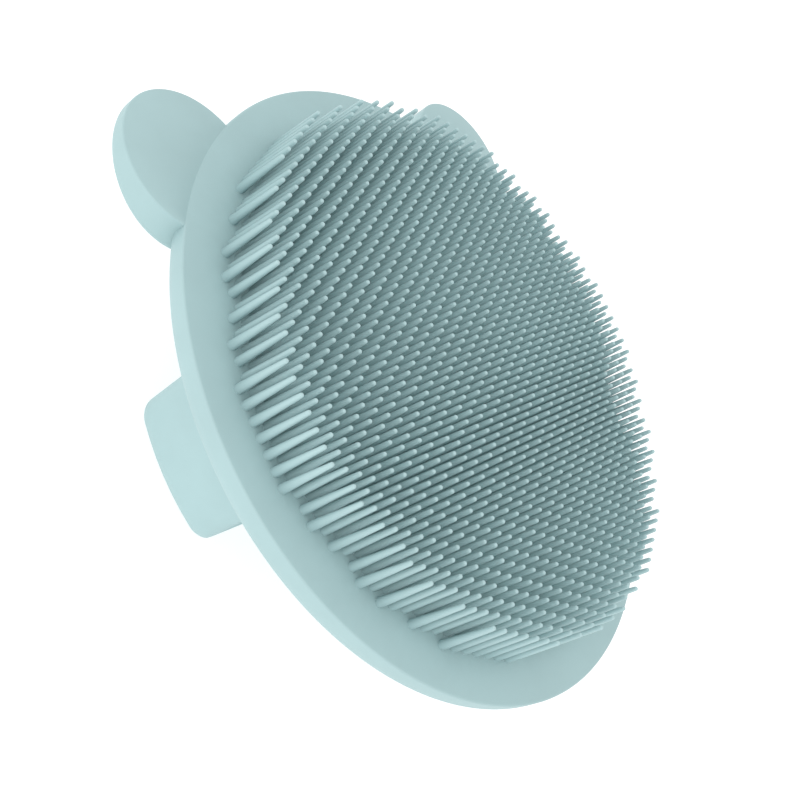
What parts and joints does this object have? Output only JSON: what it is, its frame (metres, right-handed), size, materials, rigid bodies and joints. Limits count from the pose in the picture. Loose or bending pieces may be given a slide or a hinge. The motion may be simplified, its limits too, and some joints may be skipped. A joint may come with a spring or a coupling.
{
  "type": "facial cleansing brush",
  "caption": "Hand-held silicone facial cleansing brush shaped like a bear's head, with a round field of tapered bristles in front and a finger loop behind.",
  "frame": {"origin": "bottom centre of the whole brush, on the flat outer face of the finger loop, on the axis of the round face plate", "axes": "+Z the way the bristles point, +Y towards the ears, X across the head from the left ear's side (-X) to the right ear's side (+X)"},
  "size_m": [0.0812, 0.0812, 0.031],
  "materials": {
    "silicone_body": "matt moulded silicone with a fine spark-eroded surface",
    "silicone_bristles": "satin moulded silicone, smoother than the body"
  },
  "bodies": {
    "root": {"face_plate": "silicone_body", "left_ear": "silicone_body", "right_ear": "silicone_body", "finger_loop": "silicone_body", "bristle_row_left_22": "silicone_bristles", "bristle_row_left_21": "silicone_bristles", "bristle_row_left_20": "silicone_bristles", "bristle_row_left_19": "silicone_bristles", "bristle_row_left_18": "silicone_bristles", "bristle_row_left_17": "silicone_bristles", "bristle_row_left_16": "silicone_bristles", "bristle_row_left_15": "silicone_bristles", "bristle_row_left_14": "silicone_bristles", "bristle_row_left_13": "silicone_bristles", "bristle_row_left_12": "silicone_bristles", "bristle_row_left_11": "silicone_bristles", "bristle_row_left_10": "silicone_bristles", "bristle_row_left_09": "silicone_bristles", "bristle_row_left_08": "silicone_bristles", "bristle_row_left_07": "silicone_bristles", "bristle_row_left_06": "silicone_bristles", "bristle_row_left_05": "silicone_bristles", "bristle_row_left_04": "silicone_bristles", "bristle_row_left_03": "silicone_bristles", "bristle_row_left_02": "silicone_bristles", "bristle_row_left_01": "silicone_bristles", "bristle_row_middle": "silicone_bristles", "bristle_row_right_01": "silicone_bristles", "bristle_row_right_02": "silicone_bristles", "bristle_row_right_03": "silicone_bristles", "bristle_row_right_04": "silicone_bristles", "bristle_row_right_05": "silicone_bristles", "bristle_row_right_06": "silicone_bristles", "bristle_row_right_07": "silicone_bristles", "bristle_row_right_08": "silicone_bristles", "bristle_row_right_09": "silicone_bristles", "bristle_row_right_10": "silicone_bristles", "bristle_row_right_11": "silicone_bristles", "bristle_row_right_12": "silicone_bristles", "bristle_row_right_13": "silicone_bristles", "bristle_row_right_14": "silicone_bristles", "bristle_row_right_15": "silicone_bristles", "bristle_row_right_16": "silicone_bristles", "bristle_row_right_17": "silicone_bristles", "bristle_row_right_18": "silicone_bristles", "bristle_row_right_19": "silicone_bristles", "bristle_row_right_20": "silicone_bristles", "bristle_row_right_21": "silicone_bristles", "bristle_row_right_22": "silicone_bristles"}
  },
  "joints": []
}
